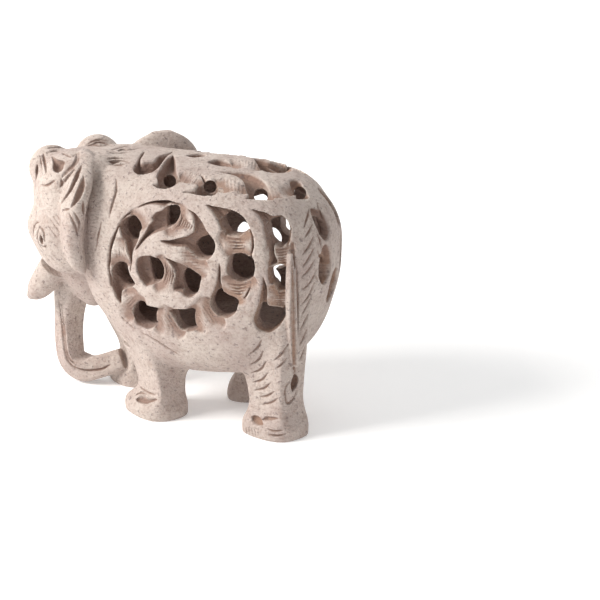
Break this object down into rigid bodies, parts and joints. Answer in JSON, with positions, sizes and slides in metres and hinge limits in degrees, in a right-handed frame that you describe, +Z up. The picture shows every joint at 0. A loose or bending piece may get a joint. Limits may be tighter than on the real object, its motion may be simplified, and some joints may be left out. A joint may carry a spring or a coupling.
{
  "type": "openwork carved soapstone elephant figurine",
  "caption": "Hollow elephant figurine carved from one stone, its body cut through with a vine of leaves, its trunk curled back to a forefoot",
  "frame": {"origin": "on the floor plane under the middle of the bounding box", "axes": "the elephant faces -X, its left side is at -Y, and +Z is up from the soles of its feet"},
  "size_m": [0.1028, 0.0526, 0.0826],
  "materials": {
    "elephant": "matt rasped soapstone, pale beige with a pink cast"
  },
  "bodies": {
    "root": {"elephant": "elephant"}
  },
  "joints": []
}
